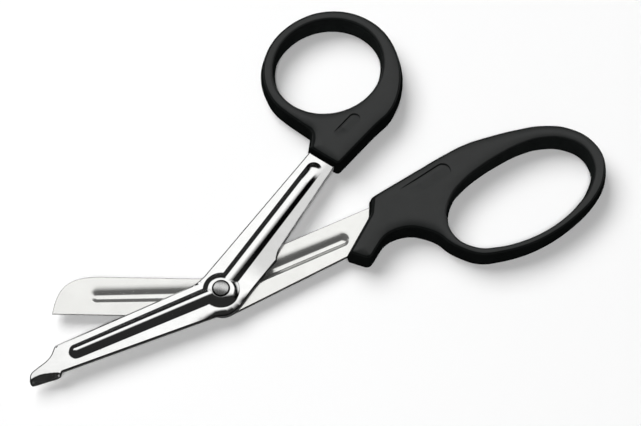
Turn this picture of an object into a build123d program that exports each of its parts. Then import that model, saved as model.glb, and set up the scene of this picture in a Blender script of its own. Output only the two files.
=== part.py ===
from build123d import *
import math
import os

os.makedirs("parts", exist_ok=True)

# Bandage scissors lying open on a table, mm.
# Plan coordinates below are measured from the pivot axis; +X runs along the
# cutting blade from its tip towards the handles, +Y towards the thumb ring,
# +Z up. The pivot axis stands at (PIVOT_X, PIVOT_Y) in the part frame, whose
# origin is the centre of the footprint on the table.

# ------------------------------------------------------------------ dimensions
PIVOT_X, PIVOT_Y = -30.869, -32.764

# moulded handles
HANDLE_T = 8.4                 # overall thickness, resting on the table
HANDLE_MID = HANDLE_T / 2      # parting plane of the mouldings
HANDLE_DRAFT = 10.0            # draft of the side walls, each way
THUMB_EDGE_R = 1.2             # rounding of the rims, thumb handle
FINGER_EDGE_R = 0.8            # rounding of the rims, finger handle
PANEL_DEPTH = 0.3              # bare stadium-shaped label recess

# stamped blades
SHEET = 1.4                    # sheet thickness
BLADE_GAP = 0.04               # running gap between the two inner faces
PROBE_Z0 = HANDLE_MID + BLADE_GAP / 2    # inner face of the probe blade
PROBE_Z1 = HANDLE_MID + SHEET            # outer face of the probe blade
CUT_Z1 = HANDLE_MID - BLADE_GAP / 2      # inner face of the cutting blade
CUT_Z0 = HANDLE_MID - SHEET              # outer face of the cutting blade
RIB_H = 1.2                    # height of the pressed ribs and bosses
RIB_DRAFT = 45.0               # slope of the rib flanks
RIB_STEP = 0.58                # channel half width is this much under the rib's
BOSS_R = 5.6                   # pivot boss radius at its foot
EDGE_LAND = 0.5                # height left at a cutting edge by the bevel
EDGE_BEVEL = 1.0               # width of the ground bevel

# pivot rivet
RIVET_R = 1.9                  # shank
RIVET_HEAD_R = 2.6             # domed head
RIVET_RIM_H = 0.3              # straight rim under the dome
RIVET_DOME_H = 0.8
RIVET_TAIL_R = 2.7             # formed tail
RIVET_TAIL_H = 1.6             # reaches down to the table
RIVET_CLEAR = 0.04             # running clearance, radial and under the head
SEAT_R = 2.85                  # spot face that the head sits in
SEAT_DEPTH = 0.25

# lip folded down along the probe blade's toe
LIP_ORIGIN = (-54.55, -29.28)  # left end of the fold direction
LIP_ANG = 16.6                 # direction of the fold
LIP_BEND = 0.15                # bend line, across the fold from the origin
LIP_SLOPE = 53.0               # how far the lip is folded down
LIP_RUN = 1.88                 # plan width of the slope before trimming
LIP_T = 0.62                   # the lip is coined thinner than the sheet
LIP_L = 9.35                   # length along the fold

# hinge plane set
PIVOT = Plane(origin=(PIVOT_X, PIVOT_Y, 0))

# ------------------------------------------------------------------ plan shapes
NOTCH = (-47.80, -18.07)       # corner between cutting edge and toe
PROBE_BEND = (-6.39, 2.75)     # cutting edge meets shank
PROBE_SHANK_L = (25.43, 46.63)     # shank meets the thumb handle, outer side
PROBE_SHANK_R = (33.15, 41.90)     # shank meets the thumb handle, inner side
PROBE_TANG = [(32.01, 42.52), (37.97, 51.35), (32.75, 55.05), (26.60, 45.93)]
PROBE_HEEL = [(9.97, 1.44), (8.62, -0.58), (7.26, -2.85), (5.86, -4.87),
              (4.34, -6.48), (2.34, -7.78), (-1.30, -8.34)]
PROBE_SPINE_END = (-45.00, -26.40)
PROBE_LIP = [(-45.60, -28.02), (-46.52, -28.38), (-48.46, -28.90), (-50.43, -29.51),
             (-52.46, -30.31), (-53.52, -30.76)]
PROBE_TOE = [(-53.52, -30.76), (-54.00, -30.52), (-54.24, -29.95), (-54.36, -29.10),
             (-54.34, -28.15), (-54.05, -27.15), (-52.98, -26.00), (-51.27, -24.49),
             (-49.74, -23.01), (-48.76, -21.44), (-48.20, -19.70), NOTCH]

CUT_HEEL = (1.54, -8.12)
CUT_SHANK_R = (37.30, 12.15)
CUT_FRONT = (44.15, 25.10)
CUT_SHANK_L = (44.30, 28.78)
CUT_BEND = (-5.50, 4.08)
CUT_NOSE = [(-36.39, 4.08), (-39.36, 3.92), (-41.72, 3.52), (-43.76, 2.88),
            (-45.48, 1.92), (-46.86, 0.62), (-47.92, -0.98), (-48.67, -2.72),
            (-49.15, -4.55), (-49.48, -6.40), (-49.71, -8.12)]
CUT_TANG = [(44.10, 24.71), (55.20, 30.40), (59.00, 22.90), (39.10, 15.56)]

# ribs: (centre near the pivot, half width there, centre at the end, half width there)
PROBE_RIB_BLADE = ((0.0, 0.0), 2.75, (-41.45, -20.30), 2.30)
PROBE_RIB_SHANK = ((-0.03, 0.03), 2.75, (26.60, 40.25), 2.62)
CUT_RIB_BLADE = ((0.0, -0.20), 2.95, (-35.90, -1.75), 2.60)
CUT_RIB_SHANK = ((-0.20, 0.50), 2.95, (35.60, 17.60), 2.40)

THUMB_RING = [
    (44.60, 52.58), (51.31, 60.72), (53.81, 70.75), (52.39, 81.09), (47.12, 90.04),
    (38.26, 95.41), (27.90, 95.86), (18.47, 91.49), (11.74, 83.57), (9.24, 73.49),
    (11.99, 63.53), (19.42, 56.24)]
THUMB_NECK = (25.30, 51.95)
THUMB_FRONT_L = (24.65, 46.30)
THUMB_FRONT_R = (34.25, 40.25)
THUMB_HOLE = (30.27, 75.39)
THUMB_HOLE_A, THUMB_HOLE_B, THUMB_HOLE_ROT = 17.04, 15.56, 36.4
THUMB_PANEL = ((34.15, 51.00), (38.75, 56.60), 3.9)

FINGER_LOOP = [
    (47.68, 15.04), (54.42, 19.47), (62.32, 18.38), (69.13, 13.83), (76.75, 11.24),
    (84.84, 12.36), (92.57, 15.03), (99.70, 19.03), (106.12, 24.11), (111.71, 30.07),
    (115.36, 37.32), (115.71, 45.40), (111.34, 52.20), (104.10, 55.84), (95.97, 56.25),
    (87.98, 54.61), (80.14, 52.25), (72.49, 49.37), (65.41, 45.27), (58.62, 40.70)]
FINGER_LOBE = (44.30, 9.00)
FINGER_CORNER = (36.75, 11.40)
FINGER_FRONT = (43.55, 25.10)
FINGER_UPPER = (43.65, 30.60)
FINGER_HOLE = [
    (89.53, 47.96), (83.66, 44.51), (78.11, 40.57), (73.05, 36.03), (69.03, 30.56),
    (67.55, 24.01), (70.26, 17.92), (76.29, 15.01), (83.04, 15.49), (89.56, 17.45),
    (95.66, 20.44), (101.19, 24.41), (105.96, 29.25), (109.80, 34.86), (111.34, 41.40),
    (108.65, 47.50), (102.69, 50.40), (95.93, 50.22)]
FINGER_PANEL = ((55.00, 31.35), (65.75, 39.25), 5.2)


# ------------------------------------------------------------------ shape helpers
def rib_outline(rib, inset):
    """Tapered slot: two lines tangent to an end arc, open into the pivot boss."""
    (x0, y0), w0, (x1, y1), w1 = rib
    w0, w1 = w0 - inset, w1 - inset
    length = math.hypot(x1 - x0, y1 - y0)
    ux, uy = (x1 - x0) / length, (y1 - y0) / length
    lean = math.asin((w0 - w1) / length)
    c, s = math.cos(lean), math.sin(lean)
    ax, ay = -uy * c + ux * s, ux * c + uy * s
    bx, by = uy * c + ux * s, -ux * c + uy * s
    with BuildSketch() as plan:
        with BuildLine():
            Line((x0 + ax * w0, y0 + ay * w0), (x0 + bx * w0, y0 + by * w0))
            Line((x0 + bx * w0, y0 + by * w0), (x1 + bx * w1, y1 + by * w1))
            ThreePointArc((x1 + bx * w1, y1 + by * w1),
                          (x1 + ux * w1, y1 + uy * w1),
                          (x1 + ax * w1, y1 + ay * w1))
            Line((x1 + ax * w1, y1 + ay * w1), (x0 + ax * w0, y0 + ay * w0))
        make_face()
    return plan.sketch


def unit(x, y):
    n = math.hypot(x, y)
    return (x / n, y / n)


def circle_tangent(p, q, r):
    """Direction at q of the circle through p, q and r."""
    ax, ay, bx, by = q[0] - p[0], q[1] - p[1], r[0] - q[0], r[1] - q[1]
    la, lb = math.hypot(ax, ay), math.hypot(bx, by)
    return unit(ax / la * lb + bx / lb * la, ay / la * lb + by / lb * la)


def arc_chain(points, start=None, end=None):
    """Smooth run of tangent arcs through the points; closed if no end directions."""
    closed = start is None
    pts = list(points)
    n = len(pts)
    if closed:
        dirs = [circle_tangent(pts[i - 1], pts[i], pts[(i + 1) % n]) for i in range(n)]
        pts, dirs = pts + pts[:1], dirs + dirs[:1]
    else:
        dirs = ([unit(*start)]
                + [circle_tangent(pts[i - 1], pts[i], pts[i + 1]) for i in range(1, n - 1)]
                + [unit(*end)])
    chain = []
    for (x0, y0), (x1, y1), (t0x, t0y), (t1x, t1y) in zip(pts, pts[1:], dirs, dirs[1:]):
        vx, vy = x1 - x0, y1 - y0
        vt = vx * (t0x + t1x) + vy * (t0y + t1y)
        k = 2 * (1 - t0x * t1x - t0y * t1y)
        vv = vx * vx + vy * vy
        d = vv / (2 * vt) if k < 1e-9 else (-vt + math.sqrt(vt * vt + k * vv)) / k
        mid = ((x0 + x1 + d * (t0x - t1x)) / 2, (y0 + y1 + d * (t0y - t1y)) / 2)
        chain.append(((x0, y0), mid, (t0x, t0y)))
        chain.append((mid, (x1, y1), unit(vx - d * (t0x + t1x), vy - d * (t0y + t1y))))
    return chain


def ellipse_points(centre, a, b, rot, count):
    c, s = math.cos(math.radians(rot)), math.sin(math.radians(rot))
    steps = [2 * math.pi * i / count for i in range(count)]
    return [(centre[0] + a * math.cos(w) * c - b * math.sin(w) * s,
             centre[1] + a * math.cos(w) * s + b * math.sin(w) * c) for w in steps]


def near(shape_list, point, radius=0.5):
    return [v for v in shape_list
            if math.hypot(v.X - point[0], v.Y - point[1]) < radius]


# ------------------------------------------------------------------ blade plans
with BuildSketch() as probe_plan:
    with BuildLine():
        Polyline(NOTCH, PROBE_BEND, PROBE_SHANK_L, PROBE_TANG[3], PROBE_TANG[2],
                 PROBE_TANG[1], PROBE_TANG[0], PROBE_SHANK_R, (17.75, 15.20))
        ThreePointArc((17.75, 15.20), (16.68, 13.05), (16.15, 10.70))
        Polyline((16.15, 10.70), (16.15, 10.05), PROBE_HEEL[0])
        Spline(PROBE_HEEL, tangents=[(-0.58, -0.81), (-0.924, -0.382)])
        Polyline(PROBE_HEEL[-1], PROBE_SPINE_END, (-45.30, -27.10), PROBE_LIP[0])
        Spline(PROBE_LIP)
        Spline(PROBE_TOE)
    make_face()
    fillet(near(probe_plan.vertices(), PROBE_BEND), 9.0)

with BuildSketch() as cut_plan:
    with BuildLine():
        Polyline(CUT_NOSE[-1], CUT_HEEL, CUT_SHANK_R, CUT_TANG[3], CUT_TANG[2],
                 CUT_TANG[1], CUT_TANG[0], CUT_FRONT, CUT_SHANK_L, CUT_BEND, CUT_NOSE[0])
        Spline(CUT_NOSE, tangents=[(-1, 0), (-0.13, -1)])
    make_face()
    fillet(near(cut_plan.vertices(), CUT_BEND), 9.0)
    fillet(near(cut_plan.vertices(), CUT_HEEL), 7.0)

# ------------------------------------------------------------------ probe blade
fold = Plane(origin=(PIVOT_X + LIP_ORIGIN[0], PIVOT_Y + LIP_ORIGIN[1], 0),
             x_dir=(-math.sin(math.radians(LIP_ANG)), math.cos(math.radians(LIP_ANG)), 0),
             z_dir=(math.cos(math.radians(LIP_ANG)), math.sin(math.radians(LIP_ANG)), 0))
with BuildPart() as lip:
    slope = math.radians(LIP_SLOPE)
    sn, cs = math.sin(slope), math.cos(slope)
    out_q, out_z = LIP_BEND - LIP_RUN, PROBE_Z1 - LIP_RUN * math.tan(slope)
    # where the lip's inner face meets the sheet's
    in_q = LIP_BEND + LIP_T * sn + (LIP_T * cs - (PROBE_Z1 - PROBE_Z0)) / sn * cs
    with BuildSketch(fold):
        with BuildLine():
            Polyline((2.0, PROBE_Z1), (LIP_BEND, PROBE_Z1), (out_q, out_z),
                     (out_q + LIP_T * sn, out_z - LIP_T * cs),
                     (in_q, PROBE_Z0), (2.0, PROBE_Z0), close=True)
        make_face()
    extrude(amount=LIP_L)
    with BuildSketch(PIVOT):
        add(probe_plan.sketch)
    extrude(amount=HANDLE_T, mode=Mode.INTERSECT)

with BuildPart() as probe_blade:
    with BuildSketch(PIVOT.offset(PROBE_Z0)):
        add(probe_plan.sketch)
    extrude(amount=PROBE_Z1 - PROBE_Z0)
    # ground bevel along the cutting edge, on the outer face
    cut_edge = (probe_blade.edges().filter_by(GeomType.LINE)
                .filter_by(lambda e: e.length > 30 and abs(e.center().Z - PROBE_Z1) < 0.01)
                .sort_by(lambda e: (e.center().X - PIVOT_X + 27) ** 2
                         + (e.center().Y - PIVOT_Y + 7.6) ** 2))[0]
    chamfer(cut_edge, EDGE_BEVEL, SHEET - EDGE_LAND)
    # pressed ribs and pivot boss, raised outwards
    for rib in (PROBE_RIB_BLADE, PROBE_RIB_SHANK):
        with BuildSketch(PIVOT.offset(PROBE_Z1)):
            add(rib_outline(rib, 0))
        extrude(amount=RIB_H, taper=RIB_DRAFT)
    with BuildSketch(PIVOT.offset(PROBE_Z1)):
        Circle(BOSS_R)
    extrude(amount=RIB_H, taper=RIB_DRAFT)
    # the same pressing seen from the inner face
    for rib in (PROBE_RIB_BLADE, PROBE_RIB_SHANK):
        with BuildSketch(PIVOT.offset(PROBE_Z0)):
            add(rib_outline(rib, RIB_STEP))
        extrude(amount=RIB_H, taper=RIB_DRAFT, mode=Mode.SUBTRACT)
    with BuildSketch(PIVOT.offset(PROBE_Z0)):
        Circle(BOSS_R - RIB_STEP)
    extrude(amount=RIB_H, taper=RIB_DRAFT, mode=Mode.SUBTRACT)
    # the toe's edge gives way to the folded lip
    with BuildSketch(fold.offset(-3.0)):
        with BuildLine():
            Polyline((LIP_BEND, 0), (LIP_BEND, HANDLE_T), (-8.0, HANDLE_T), (-8.0, 0), close=True)
        make_face()
    extrude(amount=LIP_L + 3.0, mode=Mode.SUBTRACT)
    add(lip.part)
    # pivot bore and the spot face for the rivet head
    with BuildSketch(PIVOT):
        Circle(RIVET_R + RIVET_CLEAR)
    extrude(amount=HANDLE_T, mode=Mode.SUBTRACT)
    with BuildSketch(PIVOT.offset(PROBE_Z1 + RIB_H)):
        Circle(SEAT_R)
    extrude(amount=-SEAT_DEPTH, mode=Mode.SUBTRACT)
probe_blade.part.label = "probe_blade"
export_step(probe_blade.part, "parts/probe_blade.step")

# ------------------------------------------------------------------ cutting blade
with BuildPart() as cutting_blade:
    with BuildSketch(PIVOT.offset(CUT_Z0)):
        add(cut_plan.sketch)
    extrude(amount=CUT_Z1 - CUT_Z0)
    cut_edge = (cutting_blade.edges().filter_by(GeomType.LINE)
                .filter_by(lambda e: e.length > 30 and abs(e.center().Z - CUT_Z0) < 0.01)
                .sort_by(lambda e: (e.center().X - PIVOT_X + 25) ** 2
                         + (e.center().Y - PIVOT_Y + 8.1) ** 2))[0]
    chamfer(cut_edge, EDGE_BEVEL, SHEET - EDGE_LAND)
    # pressed ribs and pivot boss, raised downwards
    for rib in (CUT_RIB_BLADE, CUT_RIB_SHANK):
        with BuildSketch(PIVOT.offset(CUT_Z0)):
            add(rib_outline(rib, 0))
        extrude(amount=-RIB_H, taper=RIB_DRAFT)
    with BuildSketch(PIVOT.offset(CUT_Z0)):
        Circle(BOSS_R)
    extrude(amount=-RIB_H, taper=RIB_DRAFT)
    # the channel seen on the inner face
    for rib in (CUT_RIB_BLADE, CUT_RIB_SHANK):
        with BuildSketch(PIVOT.offset(CUT_Z1)):
            add(rib_outline(rib, RIB_STEP))
        extrude(amount=-RIB_H, taper=RIB_DRAFT, mode=Mode.SUBTRACT)
    with BuildSketch(PIVOT.offset(CUT_Z1)):
        Circle(BOSS_R - RIB_STEP)
    extrude(amount=-RIB_H, taper=RIB_DRAFT, mode=Mode.SUBTRACT)
    with BuildSketch(PIVOT):
        Circle(RIVET_R)
    extrude(amount=HANDLE_T, mode=Mode.SUBTRACT)
cutting_blade.part.label = "cutting_blade"
export_step(cutting_blade.part, "parts/cutting_blade.step")

# ------------------------------------------------------------------ pivot rivet
SEAT_Z = PROBE_Z1 + RIB_H - SEAT_DEPTH + RIVET_CLEAR
TAIL_Z = CUT_Z0 - RIB_H
DOME_Z = SEAT_Z + RIVET_RIM_H          # foot of the dome
DOME_R = (RIVET_HEAD_R ** 2 + RIVET_DOME_H ** 2) / (2 * RIVET_DOME_H)
with BuildPart() as pivot_rivet:
    with Locations((PIVOT_X, PIVOT_Y, DOME_Z + RIVET_DOME_H - DOME_R)):
        Sphere(DOME_R)
    split(bisect_by=Plane.XY.offset(DOME_Z), keep=Keep.TOP)
    with BuildSketch(PIVOT.offset(SEAT_Z)):
        Circle(RIVET_HEAD_R)
    extrude(amount=RIVET_RIM_H)
    with BuildSketch(PIVOT.offset(TAIL_Z)):
        Circle(RIVET_R)
    extrude(amount=SEAT_Z - TAIL_Z)
    with BuildSketch(PIVOT.offset(TAIL_Z)):
        Circle(RIVET_TAIL_R)
    extrude(amount=-RIVET_TAIL_H)
    chamfer(pivot_rivet.edges().group_by(Axis.Z)[0], 0.4)
pivot_rivet.part.label = "pivot_rivet"
export_step(pivot_rivet.part, "parts/pivot_rivet.step")

# ------------------------------------------------------------------ thumb handle
with BuildPart() as thumb_handle:
    with BuildSketch(PIVOT.offset(HANDLE_MID)) as thumb_plan:
        with BuildLine():
            Line(THUMB_FRONT_R, THUMB_RING[0])
            for p, q, along in arc_chain(THUMB_RING, (10.35, 12.33), (5.88, -4.29)):
                TangentArc(p, q, tangent=along)
            Polyline(THUMB_RING[-1], THUMB_NECK, THUMB_FRONT_L, THUMB_FRONT_R)
        make_face()
        fillet(near(thumb_plan.vertices(), THUMB_NECK), 2.2)
        fillet(near(thumb_plan.vertices(), THUMB_FRONT_L), 2.2)
        fillet(near(thumb_plan.vertices(), THUMB_FRONT_R), 2.4)
    extrude(amount=HANDLE_MID, taper=HANDLE_DRAFT)
    with BuildSketch(PIVOT.offset(HANDLE_MID)):
        with BuildLine():
            for p, q, along in arc_chain(ellipse_points(
                    THUMB_HOLE, THUMB_HOLE_A, THUMB_HOLE_B, THUMB_HOLE_ROT, 8)):
                TangentArc(p, q, tangent=along)
        make_face()
    extrude(amount=HANDLE_MID, taper=-HANDLE_DRAFT, mode=Mode.SUBTRACT)
    fillet(thumb_handle.edges().group_by(Axis.Z)[-1], THUMB_EDGE_R)
    mirror(about=PIVOT.offset(HANDLE_MID))
    # label recess, left bare
    (px0, py0), (px1, py1), width = THUMB_PANEL
    with BuildSketch(PIVOT.offset(HANDLE_T)):
        with Locations(((px0 + px1) / 2, (py0 + py1) / 2)):
            SlotCenterToCenter(math.hypot(px1 - px0, py1 - py0), width,
                               rotation=math.degrees(math.atan2(py1 - py0, px1 - px0)))
    extrude(amount=-PANEL_DEPTH, mode=Mode.SUBTRACT)
    # socket for the tang
    with BuildSketch(PIVOT.offset(PROBE_Z0)):
        add(probe_plan.sketch)
    extrude(amount=PROBE_Z1 - PROBE_Z0, mode=Mode.SUBTRACT)
thumb_handle.part.label = "thumb_handle"
export_step(thumb_handle.part, "parts/thumb_handle.step")

# ------------------------------------------------------------------ finger handle
with BuildPart() as finger_handle:
    with BuildSketch(PIVOT.offset(HANDLE_MID)) as finger_plan:
        with BuildLine():
            Line(FINGER_LOBE, FINGER_LOOP[0])
            for p, q, along in arc_chain(FINGER_LOOP, (3.38, 6.04), (-14.97, -10.10)):
                TangentArc(p, q, tangent=along)
            Polyline(FINGER_LOOP[-1], FINGER_UPPER, FINGER_FRONT, FINGER_CORNER, FINGER_LOBE)
        make_face()
        fillet(near(finger_plan.vertices(), FINGER_LOBE), 2.6)
        fillet(near(finger_plan.vertices(), FINGER_CORNER), 0.9)
        fillet(near(finger_plan.vertices(), FINGER_FRONT), 2.5)
        fillet(near(finger_plan.vertices(), FINGER_UPPER), 2.2)
    extrude(amount=HANDLE_MID, taper=HANDLE_DRAFT)
    with BuildSketch(PIVOT.offset(HANDLE_MID)):
        with BuildLine():
            for p, q, along in arc_chain(FINGER_HOLE):
                TangentArc(p, q, tangent=along)
        make_face()
    extrude(amount=HANDLE_MID, taper=-HANDLE_DRAFT, mode=Mode.SUBTRACT)
    fillet(finger_handle.edges().group_by(Axis.Z)[-1], FINGER_EDGE_R)
    mirror(about=PIVOT.offset(HANDLE_MID))
    # label recess, left bare
    (px0, py0), (px1, py1), width = FINGER_PANEL
    with BuildSketch(PIVOT.offset(HANDLE_T)):
        with Locations(((px0 + px1) / 2, (py0 + py1) / 2)):
            SlotCenterToCenter(math.hypot(px1 - px0, py1 - py0), width,
                               rotation=math.degrees(math.atan2(py1 - py0, px1 - px0)))
    extrude(amount=-PANEL_DEPTH, mode=Mode.SUBTRACT)
    # socket for the tang
    with BuildSketch(PIVOT.offset(CUT_Z0)):
        add(cut_plan.sketch)
    extrude(amount=CUT_Z1 - CUT_Z0, mode=Mode.SUBTRACT)
finger_handle.part.label = "finger_handle"
export_step(finger_handle.part, "parts/finger_handle.step")
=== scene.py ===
import math

import bpy
import numpy as np
from mathutils import Matrix, Vector
from mathutils.geometry import delaunay_2d_cdt


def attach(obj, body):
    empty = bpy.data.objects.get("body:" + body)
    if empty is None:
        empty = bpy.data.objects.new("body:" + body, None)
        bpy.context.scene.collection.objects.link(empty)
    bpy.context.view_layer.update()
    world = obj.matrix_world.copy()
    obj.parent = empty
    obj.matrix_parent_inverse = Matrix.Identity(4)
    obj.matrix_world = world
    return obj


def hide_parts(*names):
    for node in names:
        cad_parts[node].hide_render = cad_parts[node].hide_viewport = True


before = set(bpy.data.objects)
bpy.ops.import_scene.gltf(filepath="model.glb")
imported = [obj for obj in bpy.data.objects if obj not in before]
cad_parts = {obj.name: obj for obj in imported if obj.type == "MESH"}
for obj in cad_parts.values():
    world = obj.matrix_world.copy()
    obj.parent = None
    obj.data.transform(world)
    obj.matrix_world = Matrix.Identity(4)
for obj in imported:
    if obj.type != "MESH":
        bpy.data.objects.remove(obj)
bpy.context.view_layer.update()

# Plan coordinates are in mm from the pivot axis, as in the CAD model; Z is up
# from the table. PIVOT puts the pivot axis in the row frame.
PIVOT = (-30.869, -32.764)

# ------------------------------------------------------------------ plan data
HANDLE_T, MID, DRAFT = 8.4, 4.2, math.radians(10.0)
PROBE_Z0, PROBE_Z1 = 4.22, 5.60
CUT_Z0, CUT_Z1 = 2.80, 4.18

NOTCH = (-47.80, -18.07)
PROBE_BEND = (-6.39, 2.75)
PROBE_SHANK_L = (25.43, 46.63)
PROBE_SHANK_R = (33.15, 41.90)
PROBE_TANG = [(26.60, 45.93), (32.75, 55.05), (37.97, 51.35), (32.01, 42.52)]
PROBE_HEEL = [(9.97, 1.44), (8.62, -0.58), (7.26, -2.85), (5.86, -4.87),
              (4.34, -6.48), (2.34, -7.78), (-1.30, -8.34)]
PROBE_SPINE_END = (-45.00, -26.40)
PROBE_LIP = [(-45.60, -28.02), (-46.52, -28.38), (-48.46, -28.90), (-50.43, -29.51),
             (-52.46, -30.31), (-53.45, -30.70)]
PROBE_TOE = [(-53.45, -30.70), (-53.88, -30.48), (-54.08, -29.95), (-54.20, -29.10),
             (-54.29, -28.15), (-54.02, -27.15), (-52.98, -26.00), (-51.27, -24.49),
             (-49.74, -23.01), (-48.76, -21.44), (-48.20, -19.70), NOTCH]
CUT_HEEL = (1.54, -8.12)
CUT_SHANK_R = (37.30, 12.15)
CUT_FRONT = (44.15, 25.10)
CUT_SHANK_L = (44.30, 28.78)
CUT_BEND = (-5.50, 4.08)
CUT_NOSE = [(-36.39, 4.08), (-39.36, 3.92), (-41.72, 3.52), (-43.76, 2.88),
            (-45.48, 1.92), (-46.86, 0.62), (-47.92, -0.98), (-48.67, -2.72),
            (-49.15, -4.55), (-49.48, -6.40), (-49.71, -8.12)]
CUT_TANG = [(39.10, 15.56), (59.00, 22.90), (55.20, 30.40), (44.10, 24.71)]

PROBE_RIBS = [((0.0, 0.0), 2.78, (-41.35, -20.05), 2.32),
              ((-0.05, 0.05), 2.76, (26.58, 40.27), 2.64)]
CUT_RIBS = [((0.0, -0.20), 2.95, (-36.60, -1.78), 2.60),
            ((-0.20, 0.50), 2.95, (35.60, 17.60), 2.40)]
BOSS_R = 5.6
BEVEL_W, BEVEL_H = 0.85, 0.98
RIVET_R, HEAD_R, TAIL_R, SEAT_R = 1.9, 2.6, 2.7, 2.72

LIP_ORIGIN = (-54.55, -29.28)
LIP_ANG, LIP_SLOPE = math.radians(16.6), math.radians(53.0)
LIP_SOFT, LIP_THIN = 0.30, 0.42
# where the fold starts: along the fold, across it
LIP_START = [(-1.0, -0.52), (0.3, -0.33), (1.71, 0.12), (3.88, 0.43), (5.95, 0.24), (7.96, -0.12),
             (8.75, -0.38), (9.25, -0.95), (9.6, -2.6), (10.5, -7.0)]

THUMB_RING = [
    (44.60, 52.58), (51.31, 60.72), (53.81, 70.75), (52.39, 81.09), (47.12, 90.04),
    (38.26, 95.41), (27.90, 95.86), (18.47, 91.49), (11.74, 83.57), (9.24, 73.49),
    (11.99, 63.53), (19.42, 56.24)]
THUMB_NECK = (25.30, 51.95)
THUMB_FRONT_L = (24.65, 46.30)
THUMB_FRONT_R = (34.25, 40.25)
THUMB_HOLE = (30.27, 75.39)
THUMB_HOLE_A, THUMB_HOLE_B, THUMB_HOLE_ROT = 17.04, 15.56, math.radians(36.4)
THUMB_PANEL = ((34.15, 51.00), (38.75, 56.60), 1.95)

FINGER_LOOP = [
    (47.68, 15.04), (54.42, 19.47), (62.32, 18.38), (69.13, 13.83), (76.75, 11.24),
    (84.84, 12.36), (92.57, 15.03), (99.70, 19.03), (106.12, 24.11), (111.71, 30.07),
    (115.36, 37.32), (115.71, 45.40), (111.34, 52.20), (104.10, 55.84), (95.97, 56.25),
    (87.98, 54.61), (80.14, 52.25), (72.49, 49.37), (65.41, 45.27), (58.62, 40.70)]
FINGER_LOBE = (44.30, 9.00)
FINGER_CORNER = (36.75, 11.40)
FINGER_FRONT = (43.55, 25.10)
FINGER_UPPER = (43.65, 30.60)
FINGER_HOLE = [
    (89.53, 47.96), (83.66, 44.51), (78.11, 40.57), (73.05, 36.03), (69.03, 30.56),
    (67.55, 24.01), (70.26, 17.92), (76.29, 15.01), (83.04, 15.49), (89.56, 17.45),
    (95.66, 20.44), (101.19, 24.41), (105.96, 29.25), (109.80, 34.86), (111.34, 41.40),
    (108.65, 47.50), (102.69, 50.40), (95.93, 50.22)]
FINGER_PANEL = ((55.00, 31.35), (65.75, 39.25), 2.6)


# ------------------------------------------------------------------ plan curves
def A(*points):
    return np.array(points, float)


def unit(v):
    v = np.asarray(v, float)
    return v / np.linalg.norm(v)


def line(a, b, step=0.5):
    a, b = np.asarray(a, float), np.asarray(b, float)
    n = max(1, int(math.ceil(np.linalg.norm(b - a) / step)))
    return a + (b - a) * np.linspace(0, 1, n + 1)[:, None]


def arc(p, q, along, step=0.35, least=2):
    """Circular arc from p to q that leaves p in the direction along."""
    p, q, t = np.asarray(p, float), np.asarray(q, float), unit(along)
    v = q - p
    chord = np.linalg.norm(v)
    alpha = math.atan2(t[0] * v[1] - t[1] * v[0], t @ v)
    if abs(alpha) < 1e-5:
        return line(p, q, step)
    radius = chord / (2 * math.sin(alpha))
    n = max(least, int(math.ceil(abs(2 * alpha * radius) / step)))
    centre = p + radius * A(-t[1], t[0])
    a = 2 * alpha * np.linspace(0, 1, n + 1)
    d = p - centre
    return centre + np.stack([d[0] * np.cos(a) - d[1] * np.sin(a),
                              d[0] * np.sin(a) + d[1] * np.cos(a)], 1)


def corner(a, c, b, r, step=0.3):
    """Fillet of radius r at c, between the straight runs from a and to b."""
    u, v = unit(np.subtract(a, c)), unit(np.subtract(b, c))
    half = math.acos(max(-1, min(1, u @ v))) / 2
    run = r / math.tan(half)
    return arc(np.asarray(c) + u * run, np.asarray(c) + v * run, -u, step, 7)


def circle_tangent(p, q, r):
    a, b = np.subtract(q, p), np.subtract(r, q)
    la, lb = np.linalg.norm(a), np.linalg.norm(b)
    return unit(a / la * lb + b / lb * la)


def chain(points, start=None, end=None, step=0.4):
    """Smooth run of tangent arcs through the points; closed if no end directions."""
    pts = [np.asarray(p, float) for p in points]
    n = len(pts)
    if start is None:
        dirs = [circle_tangent(pts[i - 1], pts[i], pts[(i + 1) % n]) for i in range(n)]
        pts, dirs = pts + pts[:1], dirs + dirs[:1]
    else:
        dirs = ([unit(start)] + [circle_tangent(pts[i - 1], pts[i], pts[i + 1])
                                 for i in range(1, n - 1)] + [unit(end)])
    out = []
    for p, q, t0, t1 in zip(pts, pts[1:], dirs, dirs[1:]):
        v = q - p
        vt, k, vv = v @ (t0 + t1), 2 * (1 - t0 @ t1), v @ v
        d = vv / (2 * vt) if k < 1e-9 else (-vt + math.sqrt(vt * vt + k * vv)) / k
        mid = (p + q + d * (t0 - t1)) / 2
        out += [arc(p, mid, t0, step), arc(mid, q, v - d * (t0 + t1), step)]
    return join(*out)


def join(*runs):
    """One polyline from consecutive runs, without repeated points."""
    pts = np.concatenate([np.atleast_2d(r) for r in runs])
    keep = [0]
    for i in range(1, len(pts)):
        if np.linalg.norm(pts[i] - pts[keep[-1]]) > 1e-4:
            keep.append(i)
    return pts[keep]


def closed(*runs, step=0.5):
    """Closed loop: the runs joined up, with long straight gaps divided."""
    pts = join(*runs)
    if np.linalg.norm(pts[0] - pts[-1]) < 1e-4:
        pts = pts[:-1]
    out = []
    for a, b in zip(pts, np.roll(pts, -1, 0)):
        out.append(line(a, b, step)[:-1])
    return np.concatenate(out)


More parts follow.
